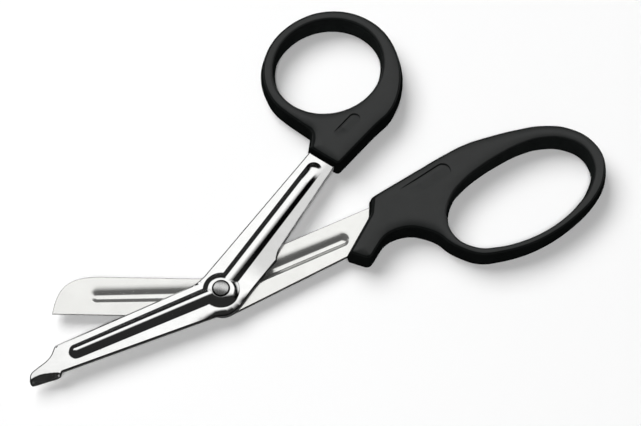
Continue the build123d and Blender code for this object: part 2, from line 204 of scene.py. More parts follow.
def spline(points, step=0.35):
    """Smooth curve through the points, Catmull-Rom by chord length."""
    p = np.asarray(points, float)
    ext = np.vstack([2 * p[0] - p[1], p, 2 * p[-1] - p[-2]])
    out = []
    for i in range(1, len(ext) - 2):
        a, b, c, d = ext[i - 1:i + 3]
        la, lb, lc = [max(1e-9, np.linalg.norm(v)) for v in (b - a, c - b, d - c)]
        m1 = lb * ((b - a) / la * lb + (c - b) / lb * la) / (la + lb)
        m2 = lb * ((c - b) / lb * lc + (d - c) / lc * lb) / (lb + lc)
        n = max(2, int(math.ceil(lb / step)))
        t = np.linspace(0, 1, n + 1)[:, None]
        out.append((2 * t**3 - 3 * t**2 + 1) * b + (t**3 - 2 * t**2 + t) * m1
                   + (-2 * t**3 + 3 * t**2) * c + (t**3 - t**2) * m2)
    return join(*out)


def side_normals(loop):
    """Left-hand normals of a closed loop."""
    a = loop - np.roll(loop, 1, 0)
    b = np.roll(loop, -1, 0) - loop
    la, lb = np.linalg.norm(a, axis=1)[:, None], np.linalg.norm(b, axis=1)[:, None]
    t = a / la * lb + b / lb * la
    t /= np.linalg.norm(t, axis=1)[:, None]
    return np.stack([-t[:, 1], t[:, 0]], 1)


def reach(loop, n):
    """How far each point can move along n before it meets the rest of the loop."""
    v = loop[None, :, :] - loop[:, None, :]
    dn = np.einsum("ijk,ik->ij", v, n)
    sq = (v ** 2).sum(2)
    with np.errstate(divide="ignore", invalid="ignore"):
        m = np.where(dn > 1e-6, sq / (2 * dn), np.inf)
    return m.min(1)


def inset(loop, n, m, d):
    """The loop moved along n by d; points that meet a mitre stay on it."""
    d = np.broadcast_to(np.asarray(d, float), (len(loop),))
    out = loop + n * d[:, None]
    bad = d > m * 0.985
    if bad.any() and not bad.all():
        good = np.flatnonzero(~bad)
        for i in np.flatnonzero(bad):
            k = np.searchsorted(good, i)
            out[i] = (out[good[k - 1]] + out[good[k % len(good)]]) / 2
    return out


def inside(points, loop):
    """Which points lie within the loop."""
    x, y = points[:, 0][:, None], points[:, 1][:, None]
    a, b = loop, np.roll(loop, -1, 0)
    hit = (a[:, 1] > y) != (b[:, 1] > y)
    with np.errstate(divide="ignore", invalid="ignore"):
        at = a[:, 0] + (y - a[:, 1]) / (b[:, 1] - a[:, 1]) * (b[:, 0] - a[:, 0])
    return (hit & (x < at)).sum(1) % 2 == 1


def away(points, loop, least):
    """Points at least that far from every point of the loop."""
    keep = np.ones(len(points), bool)
    for i in range(0, len(points), 4000):
        d = points[i:i + 4000, None, :] - loop[None, :, :]
        keep[i:i + 4000] = (d ** 2).sum(2).min(1) > least ** 2
    return points[keep]


# ------------------------------------------------------------------ mesh building
class Build:
    """Collects faces with a normal at each corner and a material number."""

    def __init__(self):
        self.v, self.f, self.n, self.m = [], [], [], []
        self.count = 0

    def add(self, verts, faces, normals, mat):
        """normals: one per vertex, or one list per face."""
        verts = np.asarray(verts, float)
        per_vertex = isinstance(normals, np.ndarray) and normals.shape == verts.shape
        for k, f in enumerate(faces):
            self.f.append([i + self.count for i in f])
            self.n.append([normals[i] for i in f] if per_vertex else list(normals[k]))
            self.m.append(mat)
        self.v.append(verts)
        self.count += len(verts)

    def bands(self, rings, normals, mat, outward=True):
        """Quads between successive closed rings of equal length."""
        rings, normals = np.asarray(rings, float), np.asarray(normals, float)
        k, n = rings.shape[:2]
        faces = []
        for a in range(k - 1):
            for i in range(n):
                j = (i + 1) % n
                q = (a * n + i, a * n + j, (a + 1) * n + j, (a + 1) * n + i)
                faces.append(q if outward else q[::-1])
        self.add(rings.reshape(-1, 3), faces, normals.reshape(-1, 3), mat)

    def make(self, name, mats, move=None):
        v = np.concatenate(self.v)
        n = [np.asarray(x, float) for x in self.n]
        if move:
            v, n = move(v, n, self.f)
        key = np.round(v, 5)
        _, first, where = np.unique(key, axis=0, return_index=True, return_inverse=True)
        where = where.reshape(-1)
        faces, normals, index, used = [], [], [], set()
        for f, nn, m in zip(self.f, n, self.m):
            g = [where[i] for i in f]
            keep = [i for i in range(len(g)) if g[i] != g[i - 1]]
            g2 = [int(g[i]) for i in keep]
            if len(g2) < 3 or len(set(g2)) < len(g2):
                continue
            tag = tuple(sorted(g2))
            if tag in used:
                continue
            used.add(tag)
            faces.append(g2)
            normals += [nn[i] for i in keep]
            index.append(m)
        out = v[first]
        live = np.unique(np.concatenate([np.asarray(f) for f in faces]))
        remap = -np.ones(len(out), int)
        remap[live] = np.arange(len(live))
        out = (out[live] + A(PIVOT[0], PIVOT[1], 0)) * 0.001
        faces = [[int(remap[i]) for i in f] for f in faces]
        mesh = bpy.data.meshes.new(name)
        mesh.from_pydata([tuple(p) for p in out], [], faces)
        for material in mats:
            mesh.materials.append(material)
        mesh.polygons.foreach_set("material_index", np.array(index, np.int32))
        mesh.polygons.foreach_set("use_smooth", np.ones(len(faces), bool))
        normals = np.array(normals)
        normals /= np.linalg.norm(normals, axis=1)[:, None]
        mesh.normals_split_custom_set([tuple(p) for p in normals])
        mesh.update()
        obj = bpy.data.objects.new(name, mesh)
        bpy.context.scene.collection.objects.link(obj)
        return obj


def lean(height, p, e=0.01):
    """Upward normals of the surface z = height(points)."""
    gx = (height(p + A(e, 0)) - height(p - A(e, 0))) / (2 * e)
    gy = (height(p + A(0, e)) - height(p - A(0, e))) / (2 * e)
    n = np.stack([-gx, -gy, np.ones(len(gx))], 1)
    return n / np.linalg.norm(n, axis=1)[:, None]


def patch(build, loops, extra, height, mat, up=True):
    """Triangulated surface z = height(points) within loops[0] and outside the others."""
    pts, edges = [], []
    count = 0
    for loop in loops:
        n = len(loop)
        pts.append(loop)
        edges += [(count + i, count + (i + 1) % n) for i in range(n)]
        count += n
    if len(extra):
        pts.append(extra)
    pts = np.concatenate(pts)
    verts, _, tris, orig, _, _ = delaunay_2d_cdt(
        [Vector((float(x), float(y))) for x, y in pts], edges, [], 0, 1e-5)
    xy = np.array([pts[o[0]] if o else (w.x, w.y) for w, o in zip(verts, orig)], float)
    tris = np.array([t for t in tris if len(t) == 3], int)
    mid = xy[tris].mean(1)
    ok = inside(mid, loops[0])
    for loop in loops[1:]:
        ok &= ~inside(mid, loop)
    tris, mid = tris[ok], mid[ok]
    area = np.cross(xy[tris[:, 1]] - xy[tris[:, 0]], xy[tris[:, 2]] - xy[tris[:, 0]])
    tris[area < 0] = tris[area < 0][:, ::-1]
    if not up:
        tris = tris[:, ::-1]
    z = height(xy)
    at = xy[tris] * 0.85 + mid[:, None, :] * 0.15
    flat = at.reshape(-1, 2)
    n = lean(height, flat)
    if not up:
        n = -n
    build.add(np.column_stack([xy, z]), [tuple(int(i) for i in t) for t in tris],
              n.reshape(-1, 3, 3), mat)


# ------------------------------------------------------------------ pressed forms
def rib_distance(p, rib):
    a, w0, b, w1 = np.asarray(rib[0]), rib[1], np.asarray(rib[2]), rib[3]
    ab = b - a
    t = np.clip(((p - a) @ ab) / (ab @ ab), 0, 1)
    d = np.linalg.norm(p - (a + t[:, None] * ab), axis=1)
    return d, w0 + t * (w1 - w0)


def ridge(x):
    """Outer side of a pressed rib over its half width: a parabolic crest, straight flanks
    and a small foot arc."""
    k, a, c = 1.10, 0.58, 0.95
    crest = 0.5 * k * (a * a - np.minimum(x, a) ** 2)
    flank = k * a * (c - np.clip(x, a, c))
    return crest + flank + 0.5 * k * a / (1 - c) * np.clip(1 - np.maximum(x, c), 0, 1) ** 2


def section(width, slope):
    """Depth over the distance from the bottom of a groove, from slopes given from its edge inwards."""
    e = np.linspace(0, width[-1], 500)
    t = np.tan(np.radians(np.interp(e, width, slope)))
    h = np.concatenate([[0], np.cumsum((t[1:] + t[:-1]) / 2 * np.diff(e))])
    return width[-1] - e[::-1], h[::-1]


# groove walls: a long shoulder on the far side, a short one on the near side
GROOVE_FAR = (section([0, 0.3, 1.2, 1.9, 2.55, 2.85, 3.5], [0, 1.0, 4, 7.5, 18, 30, 0]),
              section([0, 0.6, 1.6, 2.2, 2.8, 3.2, 4.0], [0, 2, 8, 16, 30, 33, 0]))
GROOVE_NEAR = section([0, 0.25, 0.35, 0.5, 1.4, 1.6, 1.9, 2.85], [0, 4, 18, 27, 28, 20, 6, 0])


BOSS_PHI_R = np.array([0.0, 2.6, 2.8, 3.6, 3.95, 5.2, 5.5, BOSS_R + 0.05, 9.0])
BOSS_PHI = np.radians([0.0, 0.0, 8.0, 15.0, 27.0, 32.5, 30.0, 0.0, 0.0])
_r = np.linspace(0, 9.0, 1801)
_slope = np.tan(np.interp(_r, BOSS_PHI_R, BOSS_PHI))
_h = np.concatenate([[0], np.cumsum((_slope[1:] + _slope[:-1]) / 2 * np.diff(_r))])
BOSS_H = _h[-1]


def boss(r):
    return BOSS_H - np.interp(r, _r, _h)


def pressing(p, ribs):
    """Height of the ribs and boss over the flat sheet."""
    h = boss(np.linalg.norm(p, axis=1))
    for rib, low in zip(ribs, (0.0, 0.55)):
        d, w = rib_distance(p, rib)
        a, ab = np.asarray(rib[0]), np.asarray(rib[2]) - np.asarray(rib[0])
        # the shank's rib runs out towards its end
        t = np.clip((((p - a) @ ab) / (ab @ ab) - 0.89) / 0.18, 0, 1)
        h = np.maximum(h, w * ridge(d / w) * (1 - low * t * t * (3 - 2 * t)))
    return h


def sinking(p, ribs):
    """Depth of the same pressing on the inner face."""
    h = boss(np.linalg.norm(p, axis=1) + 0.6)
    for rib, wall in zip(ribs, GROOVE_FAR):
        d, w = rib_distance(p, rib)
        a, b = np.asarray(rib[0]), np.asarray(rib[2])
        u = unit(b - a)
        side = (u[0] * (p[:, 1] - a[1]) - u[1] * (p[:, 0] - a[0])) * np.sign(u[0])
        k = w / 2.75
        far = np.interp(d / k, *wall)
        near = np.interp(d / k, *GROOVE_NEAR) * wall[1][0] / GROOVE_NEAR[1][0]
        mix = 0.5 + 0.5 * np.clip(side / np.maximum(d, 1e-6), -1, 1)
        h = np.maximum(h, k * (mix * far + (1 - mix) * near))
    return h


def rib_samples(ribs, across, step=0.45, widen=0.0):
    """Rows of points along each rib and round its end, and rings round the boss."""
    out = []
    for a, w0, b, w1 in ribs:
        a, b = np.asarray(a), np.asarray(b)
        length = np.linalg.norm(b - a)
        u = (b - a) / length
        v = A(-u[1], u[0])
        for t in np.linspace(0, 1, int(length / step) + 1):
            w = w0 + t * (w1 - w0) + widen
            for k in across:
                out.append(a + u * length * t + v * w * k)
        for k in across:
            if k > 0:
                w = (w1 + widen) * k
                for ang in np.linspace(-math.pi / 2, math.pi / 2, max(4, int(w * math.pi / 0.4)))[1:-1]:
                    out.append(b + w * (u * math.cos(ang) + v * math.sin(ang)))
    out = np.array(out)
    out = out[np.linalg.norm(out, axis=1) > BOSS_R + 0.45]
    rings = []
    for r in (2.9, 3.2, 3.5, 3.8, 4.0, 4.2, 4.4, 4.6, 4.8, 5.0, 5.2, 5.35, 5.45, 5.55, BOSS_R, 5.75, 5.95):
        n = int(2 * math.pi * r / 0.32)
        ang = np.arange(n) * 2 * math.pi / n
        rings.append(np.stack([r * np.cos(ang), r * np.sin(ang)], 1))
    return np.concatenate([out] + rings)


def flat_samples(loop, step):
    lo, hi = loop.min(0), loop.max(0)
    gx, gy = np.meshgrid(np.arange(lo[0], hi[0], step), np.arange(lo[1], hi[1], step))
    gx[1::2] += step / 2
    return np.column_stack([gx.ravel(), gy.ravel()])


def thin(points, least):
    """Drops points closer than that to an earlier one."""
    seen, keep = {}, []
    for i, (x, y) in enumerate(points):
        k = (int(math.floor(x / least)), int(math.floor(y / least)))
        near = False
        for dx in (-1, 0, 1):
            for dy in (-1, 0, 1):
                for j in seen.get((k[0] + dx, k[1] + dy), ()):
                    if (points[j][0] - x) ** 2 + (points[j][1] - y) ** 2 < least * least:
                        near = True
        if not near:
            seen.setdefault(k, []).append(i)
            keep.append(i)
    return points[keep]


def sheet_blade(loop, top, bottom, ribs, across_top, across_bottom, widen_top, widen_bottom,
                bore_top, bore_bottom, edge_top, edge_bottom, extra):
    """Stamped sheet between two height functions, with rounded edges and a bore."""
    b = Build()
    n = side_normals(loop)
    m = reach(loop, n)
    out = np.column_stack([-n, np.zeros(len(n))])
    zup = A(0, 0, 1)
    turns = np.radians([0, 22.5, 45, 67.5, 90])
    sides = []
    for height, r, sign in ((bottom, edge_bottom, -1), (top, edge_top, 1)):
        rings, norms = [], []
        for th in turns:
            ring = inset(loop, n, m, r * (1 - math.cos(th)))
            rings.append(np.column_stack([ring, height(ring) - sign * r * (1 - math.sin(th))]))
            norms.append(out * math.cos(th) + sign * lean(height, ring) * math.sin(th))
        sides.append((rings, norms))
    (low, low_n), (high, high_n) = sides
    low_ring, high_ring = low[-1][:, :2], high[-1][:, :2]
    b.bands(low[3:][::-1], low_n[3:][::-1], 1)
    # material 2, the edge rounding and walls here and the bore wall below, is the edge steel that carries painted
    # shade
    b.bands(low[:4][::-1] + high, low_n[:4][::-1] + high_n, 2)
    ang = np.arange(72) * 2 * math.pi / 72
    circle = np.stack([np.cos(ang), np.sin(ang)], 1)
    for ring, height, across, widen, bore, mat, up in (
            (high_ring, top, across_top, widen_top, bore_top, 0, True),
            (low_ring, bottom, across_bottom, widen_bottom, bore_bottom, 1, False)):
        hole = circle * bore
        pts = rib_samples(ribs, across, widen=widen)
        pts = np.vstack([pts, extra, flat_samples(loop, 1.6)])
        pts = thin(pts, 0.17)
        pts = pts[inside(pts, ring) & (np.linalg.norm(pts, axis=1) > bore + 0.12)]
        pts = away(pts, ring, 0.16)
        loops = [join(ring), hole]
        patch(b, loops, pts, height, mat, up)
    top_in = np.column_stack([circle * bore_top, top(circle * bore_top)])
    low_in = np.column_stack([circle * bore_bottom, bottom(circle * bore_bottom)])
    step_z = top(circle * bore_top) - 0.55
    inward = np.column_stack([-circle, np.zeros(72)])
    wall = [low_in, np.column_stack([circle * bore_bottom, step_z]),
            np.column_stack([circle * bore_top, step_z]), top_in]
    b.bands([wall[0], wall[1]], [inward, inward], 2, outward=False)
    b.bands([wall[1], wall[2]], [inward * 0 + zup, inward * 0 + zup], 2, outward=False)
    b.bands([wall[2], wall[3]], [inward, inward], 2, outward=False)
    return b


# ------------------------------------------------------------------ materials
def material(name):
    mat = bpy.data.materials.new(name)
    mat.use_nodes = True
    nt = mat.node_tree
    nt.nodes.clear()
    out = nt.nodes.new("ShaderNodeOutputMaterial")
    sh = nt.nodes.new("ShaderNodeBsdfPrincipled")
    nt.links.new(sh.outputs["BSDF"], out.inputs["Surface"])
    tc = nt.nodes.new("ShaderNodeTexCoord")
    return mat, nt, sh, tc


def noise(nt, tc, scale, detail=3.0, rough=0.5, stretch=None, turn=0.0):
    tex = nt.nodes.new("ShaderNodeTexNoise")
    tex.inputs["Scale"].default_value = scale
    tex.inputs["Detail"].default_value = detail
    tex.inputs["Roughness"].default_value = rough
    mp = nt.nodes.new("ShaderNodeMapping")
    mp.inputs["Rotation"].default_value = (0, 0, turn)
    if stretch:
        mp.inputs["Scale"].default_value = stretch
    nt.links.new(tc.outputs["Object"], mp.inputs["Vector"])
    nt.links.new(mp.outputs["Vector"], tex.inputs["Vector"])
    return tex.outputs["Fac"]


def ramp(nt, fac, stops):
    r = nt.nodes.new("ShaderNodeValToRGB")
    el = r.color_ramp.elements
    el[0].position, el[0].color = stops[0][0], (*stops[0][1], 1)
    el[1].position, el[1].color = stops[-1][0], (*stops[-1][1], 1)
    for pos, col in stops[1:-1]:
        e = el.new(pos)
        e.color = (*col, 1)
    nt.links.new(fac, r.inputs["Fac"])
    return r.outputs["Color"]


def span(nt, fac, lo, hi):
    mr = nt.nodes.new("ShaderNodeMapRange")
    mr.inputs["From Min"].default_value = 0.3
    mr.inputs["From Max"].default_value = 0.7
    mr.inputs["To Min"].default_value = lo
    mr.inputs["To Max"].default_value = hi
    nt.links.new(fac, mr.inputs["Value"])
    return mr.outputs["Result"]


def bump(nt, sh, fac, distance, strength=1.0):
    bp = nt.nodes.new("ShaderNodeBump")
    bp.inputs["Strength"].default_value = strength
    bp.inputs["Distance"].default_value = distance
    nt.links.new(fac, bp.inputs["Height"])
    nt.links.new(bp.outputs["Normal"], sh.inputs["Normal"])


def ramp_along(nt, tc, origin, direction, start, stop):
    """0 to 1 over the distance start to stop from the origin, in mm."""
    sub, dot = nt.nodes.new("ShaderNodeVectorMath"), nt.nodes.new("ShaderNodeVectorMath")
    sub.operation, dot.operation = "SUBTRACT", "DOT_PRODUCT"
    sub.inputs[1].default_value = ((origin[0] + PIVOT[0]) * 0.001, (origin[1] + PIVOT[1]) * 0.001, 0)
    dot.inputs[1].default_value = (direction[0], direction[1], 0)
    nt.links.new(tc.outputs["Object"], sub.inputs[0])
    nt.links.new(sub.outputs["Vector"], dot.inputs[0])
    mr = nt.nodes.new("ShaderNodeMapRange")
    mr.interpolation_type = "SMOOTHSTEP"
    mr.inputs["From Min"].default_value, mr.inputs["From Max"].default_value = start * 0.001, stop * 0.001
    nt.links.new(dot.outputs["Value"], mr.inputs["Value"])
    return mr.outputs["Result"]


def steel(name, lo, hi, r_lo, r_hi, mottle=260.0, grain=None, bump_d=0.0, metal=1.0, colour_zones=()):
    mat, nt, sh, tc = material(name)
    sh.inputs["Metallic"].default_value = metal
    f = noise(nt, tc, mottle, 4.0, 0.55)
    colour = ramp(nt, f, [(0.32, lo), (0.68, hi)])
    for a, b, shade, first, last in colour_zones:
        # colour scaled by shade on the right of the line from a to b, between two fades; on the edge steel this lifts
        # its painted shade back to steel grey
        a, b = A(*a), A(*b)
        u = unit(b - a)
        mask = ramp_along(nt, tc, a, (u[1], -u[0]), 0.6, 3.0)
        for origin, way, fade in ((a, u, first), (b, -u, last)):
            both = nt.nodes.new("ShaderNodeMath")
            both.operation = "MULTIPLY"
            nt.links.new(mask, both.inputs[0])
            nt.links.new(ramp_along(nt, tc, origin, way, *fade), both.inputs[1])
            mask = both.outputs[0]
        mix = nt.nodes.new("ShaderNodeMix")
        mix.data_type = "RGBA"
        nt.links.new(mask, mix.inputs["Factor"])
        nt.links.new(colour, mix.inputs["A"])
        nt.links.new(ramp(nt, f, [(0.32, [shade * c for c in lo]), (0.68, [shade * c for c in hi])]), mix.inputs["B"])
        colour = mix.outputs["Result"]
    nt.links.new(colour, sh.inputs["Base Color"])
    g = noise(nt, tc, 1400.0, 2.0, 0.5, grain[0], grain[1]) if grain else noise(nt, tc, 900.0, 3.0)
    nt.links.new(span(nt, g, r_lo, r_hi), sh.inputs["Roughness"])
    if bump_d:
        bump(nt, sh, g, bump_d, 0.35)
    return mat


# the polished steel is darker, 0.68 of its colour, on the right of the shank's rib from 6-15 mm along it onwards
POLISHED = steel("steel_polished", (0.485, 0.485, 0.48), (0.515, 0.515, 0.51), 0.07, 0.12,
                 grain=((0.06, 1.0, 1.0), math.radians(27)), bump_d=0.000003,
                 colour_zones=((PROBE_RIBS[1][0], PROBE_RIBS[1][2], 0.68, (6.0, 15.0), (-31.0, -30.0)),))
SATIN = steel("steel_satin", (0.482, 0.482, 0.468), (0.512, 0.512, 0.498), 0.18, 0.205,
              mottle=170.0, metal=0.80)
# near-black steel for the cutting blade's edges and bore wall and the rivet head's rim: painted shade, not the steel's
# own colour
EDGE_PAINTED_SHADE = steel("steel_edge_painted_shade", (0.014, 0.014, 0.014), (0.030, 0.030, 0.030), 0.38, 0.55,
                mottle=700.0)
# the same painted shade on the probe blade's edges and bore wall, lifted twentyfold to steel grey on the right of both
# ribs over parts of their length
EDGE_PAINTED_SHADE_LIFTED = steel("steel_edge_painted_shade_lifted", (0.014, 0.014, 0.014), (0.030, 0.030, 0.030), 0.38, 0.55,
                       mottle=700.0, colour_zones=((PROBE_RIBS[1][0], PROBE_RIBS[1][2], 20.0, (19.0, 22.0), (-31.0, -30.0)),
                             (PROBE_RIBS[0][0], PROBE_RIBS[0][2], 20.0, (8.0, 12.0), (2.0, 8.0))))
RIVET_STEEL = steel("steel_rivet", (0.31, 0.31, 0.31), (0.37, 0.37, 0.365), 0.24, 0.30,
                    mottle=500.0, metal=0.85)


def plastic(name, dark, level, r_lo, r_hi):
    mat, nt, sh, tc = material(name)
    f = noise(nt, tc, 180.0, 4.0, 0.6)
    lo, hi = 0.84 * dark, 1.16 * dark
    nt.links.new(ramp(nt, f, [(0.3, (0.92 * lo, 1.04 * lo, 1.01 * lo)), (0.7, (0.92 * hi, 1.04 * hi, 1.01 * hi))]),
                 sh.inputs["Base Color"])
    g = noise(nt, tc, 2600.0, 2.0, 0.6)
    nt.links.new(span(nt, g, r_lo, r_hi), sh.inputs["Roughness"])
    sh.inputs["Specular IOR Level"].default_value = level
    bump(nt, sh, g, 0.00002, 0.30)
    return mat


PLASTIC = plastic("plastic_face", 0.0068, 0.295, 0.33, 0.42)
# rim plastic, darker and less glossy than the face: painted shade along the handles' edges
PLASTIC_RIM_PAINTED_SHADE = plastic("plastic_rim_painted_shade", 0.0058, 0.06, 0.40, 0.50)
# wall plastic, without gloss and darker than the face: painted shade on the outer walls
PLASTIC_WALL_PAINTED_SHADE = plastic("plastic_wall_painted_shade", 0.0052, 0.0, 0.46, 0.56)
# bore plastic, lighter than the face: painted light on the hole walls
PLASTIC_BORE_PAINTED_LIGHT = plastic("plastic_bore_painted_light", 0.0105, 0.0, 0.46, 0.56)


# ------------------------------------------------------------------ probe blade
LIP_E = A(math.cos(LIP_ANG), math.sin(LIP_ANG))
LIP_Q = A(-math.sin(LIP_ANG), math.cos(LIP_ANG))
probe_loop = closed(
    line(NOTCH, A(*PROBE_BEND) - unit(A(*PROBE_BEND) - A(*NOTCH)) * 3.4),
    corner(NOTCH, PROBE_BEND, PROBE_SHANK_L, 9.0),
    A(PROBE_SHANK_L), A(*PROBE_TANG), A(PROBE_SHANK_R), A((17.75, 15.20)),
    spline([(17.75, 15.20), (16.68, 13.05), (16.15, 10.70)]), A((16.15, 10.05)),
    spline(PROBE_HEEL), A(PROBE_SPINE_END), A((-45.30, -27.10)),
    spline(PROBE_LIP), spline(PROBE_TOE, 0.25))[::-1]
lip_start = spline(LIP_START, 0.1)


def lip_run(p):
    """How far past the start of the fold each point lies."""
    d = p - A(*LIP_ORIGIN)
    return np.interp(d @ LIP_E, lip_start[:, 0], lip_start[:, 1]) - d @ LIP_Q


def lip(p):
    """Drop of the lip folded down along the toe."""
    u = lip_run(p)
    bent = np.clip(u + LIP_SOFT, 0, 2 * LIP_SOFT) ** 2 / (4 * LIP_SOFT) + np.maximum(0, u - LIP_SOFT)
    return math.tan(LIP_SLOPE) * bent


def fold_lip(v, normals, faces):
    """Folds the flat sheet down along the toe; the lip is coined thinner."""
    p = v[:, :2]
    drop = lip(p)
    n = lean(lambda q: -lip(q), p)
    thick = 1 - (1 - LIP_THIN) * np.clip((lip_run(p) + 1.6) / 1.3, 0, 1)
    on = lip_run(p) > -1.6
    out = v.copy()
    out[on] = (np.column_stack([p, PROBE_Z1 - drop]) - (thick * (PROBE_Z1 - v[:, 2]))[:, None] * n)[on]
    sine = np.linalg.norm(n[:, :2], axis=1)
    axis = np.column_stack([-n[:, 1], n[:, 0], np.zeros(len(n))]) / np.maximum(sine, 1e-9)[:, None]
    turned = []
    for f, a in zip(faces, normals):
        i = np.asarray(f)
        if (sine[i] > 1e-6).any():
            k, c = axis[i], n[i, 2:3]
            a = a * c + np.cross(k, a) * sine[i][:, None] + k * (k * a).sum(1)[:, None] * (1 - c)
        turned.append(a)
    return out, turned


def ease(x):
    x = np.clip(x, 0, 1)
    return x * x * (3 - 2 * x)


def heel_roll(p):
    """The sheet rolls off a little towards its heel edge."""
    a, b = HEEL_RUN[:-1], HEEL_RUN[1:]
    ab = b - a
    best = np.full(len(p), 1e9)
    for i in range(len(a)):
        t = np.clip(((p - a[i]) @ ab[i]) / (ab[i] @ ab[i]), 0, 1)
        best = np.minimum(best, np.linalg.norm(p - (a[i] + t[:, None] * ab[i]), axis=1))
    turn = np.degrees(np.arctan2(p[:, 1], p[:, 0]))
    fade = ease((4 - turn) / 40) * ease((turn + 135) / 45)
    return np.maximum(0, 2.2 - best) ** 2 / 12.0 * fade


HEEL_RUN = A((11.0, 2.98), *PROBE_HEEL, (-8.0, -11.11))


def bevel(p, a, b, side):
    """Depth of a ground bevel along the edge from a to b; side is its inward normal."""
    a, b = np.asarray(a), np.asarray(b)
    u = unit(b - a)
    along = (p - a) @ u
    d = (p - a) @ side
    # runs out past the end of the straight edge
    fade = np.clip((np.linalg.norm(b - a) - along) / 3.0, 0, 1)
    return BEVEL_H / BEVEL_W * np.clip(BEVEL_W - d, 0, BEVEL_W) * fade


probe_edge_dir = unit(A(*PROBE_BEND) - A(*NOTCH))
PROBE_EDGE_IN = A(probe_edge_dir[1], -probe_edge_dir[0])


def probe_top(p):
    h = PROBE_Z1 + pressing(p, PROBE_RIBS)
    return h - bevel(p, NOTCH, PROBE_BEND, PROBE_EDGE_IN) - heel_roll(p)


def probe_bottom(p):
    return PROBE_Z0 + sinking(p, PROBE_RIBS)


ACROSS_OUT = (-1.25, -1.1, -1.03, -1.0, -0.975, -0.95, -0.82, -0.7, -0.56, -0.42, -0.28, -0.14, 0.0,
              0.14, 0.28, 0.42, 0.56, 0.7, 0.82, 0.95, 0.975, 1.0, 1.03, 1.1, 1.25)
ACROSS_IN = tuple(np.linspace(-1.45, 1.45, 43))

lip_grid = np.array([A(*LIP_ORIGIN) + LIP_E * s + LIP_Q * q
                     for q in np.arange(-1.6, 1.6, 0.2) for s in np.arange(0.1, 10.0, 0.3)])
edge_row = np.array([A(*NOTCH) + probe_edge_dir * t + PROBE_EDGE_IN * BEVEL_W
                     for t in np.arange(1.0, 46, 0.5)])


heel_grid = np.array([A(x, y) for x in np.arange(-3.5, 8.0, 0.4) for y in np.arange(-9.2, -1.6, 0.4)])
probe = sheet_blade(probe_loop, probe_top, probe_bottom, PROBE_RIBS, ACROSS_OUT, ACROSS_IN, 0.0, 0.3,
                    SEAT_R, RIVET_R + 0.06, 0.36, 0.10, np.vstack([lip_grid, edge_row, heel_grid]))
probe_obj = probe.make("probe_blade_steel", [POLISHED, SATIN, EDGE_PAINTED_SHADE_LIFTED], fold_lip)
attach(probe_obj, "thumb_half")
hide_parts("probe_blade")

# ------------------------------------------------------------------ cutting blade
cut_loop = closed(
    line(CUT_NOSE[-1], A(*CUT_HEEL) - A(3.0, 0)), corner(CUT_NOSE[-1], CUT_HEEL, CUT_SHANK_R, 7.0),
    A(CUT_SHANK_R), A(*CUT_TANG), A(CUT_FRONT), A(CUT_SHANK_L),
    corner(CUT_SHANK_L, CUT_BEND, CUT_NOSE[0], 9.0), spline(CUT_NOSE))


def cut_top(p):
    return CUT_Z1 - sinking(p, CUT_RIBS)


def cut_bottom(p):
    low = CUT_Z0 - pressing(p, CUT_RIBS)
    return low + bevel(p, CUT_NOSE[-1], CUT_HEEL, A(0, 1))


cut = sheet_blade(cut_loop, cut_top, cut_bottom, CUT_RIBS, ACROSS_IN, ACROSS_OUT, 0.3, 0.0,
                  RIVET_R + 0.3, RIVET_R + 0.06, 0.14, 0.30,
                  np.column_stack([np.arange(-48.6, -1, 0.5), np.full(96, CUT_HEEL[1] + BEVEL_W)]))
cut_obj = cut.make("cutting_blade_steel", [SATIN, POLISHED, EDGE_PAINTED_SHADE])
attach(cut_obj, "finger_half")
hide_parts("cutting_blade")

# ------------------------------------------------------------------ pivot rivet
HEAD_Z = PROBE_Z1 + BOSS_H - 0.30       # underside of the head, in its seat
dome_r = (2.2 ** 2 + 0.36 ** 2) / (2 * 0.36)
profile = [(0.0, HEAD_Z + 1.02)]
for a in np.linspace(0, math.asin(2.2 / dome_r), 12)[1:]:
    profile.append((dome_r * math.sin(a), HEAD_Z + 1.02 - dome_r * (1 - math.cos(a))))
rim_from = len(profile) - 1
for a in np.radians([38, 52, 66, 78, 90]):
    profile.append((2.1 + 0.50 * math.sin(a), HEAD_Z + 0.20 + 0.48 * math.cos(a)))
rim_to = len(profile)
profile += [(HEAD_R, HEAD_Z + 0.02), (HEAD_R - 0.03, HEAD_Z),
            (RIVET_R, HEAD_Z), (RIVET_R, 1.62), (2.62, 1.6), (TAIL_R, 1.5), (TAIL_R, 0.5), (2.62, 0.26), (2.4, 0.08),
            (2.1, 0.0), (0.0, 0.0)]
profile = np.array(profile)
seg = 72
ang = np.arange(seg) * 2 * math.pi / seg
rv = Build()
rings = [np.column_stack([r * np.cos(ang), r * np.sin(ang), np.full(seg, z)]) for r, z in profile]
for i in range(len(profile) - 1):
    (r0, z0), (r1, z1) = profile[i], profile[i + 1]
    ends = []
    for k in (i, i + 1):
        a, b = profile[max(0, k - 1)], profile[min(len(profile) - 1, k + 1)]
        d = profile[i + 1] - profile[i]
        soft = np.subtract(b, a)
        sharp = unit(soft) @ unit(d) < 0.86
        t = unit(d if sharp else soft)
        ends.append((-t[1], t[0]))
    norm = [np.column_stack([nr * np.cos(ang), nr * np.sin(ang), np.full(seg, nz)]) for nr, nz in ends]
    # the head's rounded rim takes material 1, the edge steel: painted shade of the gap round the head
    rv.bands([rings[i], rings[i + 1]], norm, 1 if rim_from <= i <= rim_to else 0, outward=False)
rivet_obj = rv.make("pivot_rivet_steel", [RIVET_STEEL, EDGE_PAINTED_SHADE])
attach(rivet_obj, "finger_half")
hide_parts("pivot_rivet")


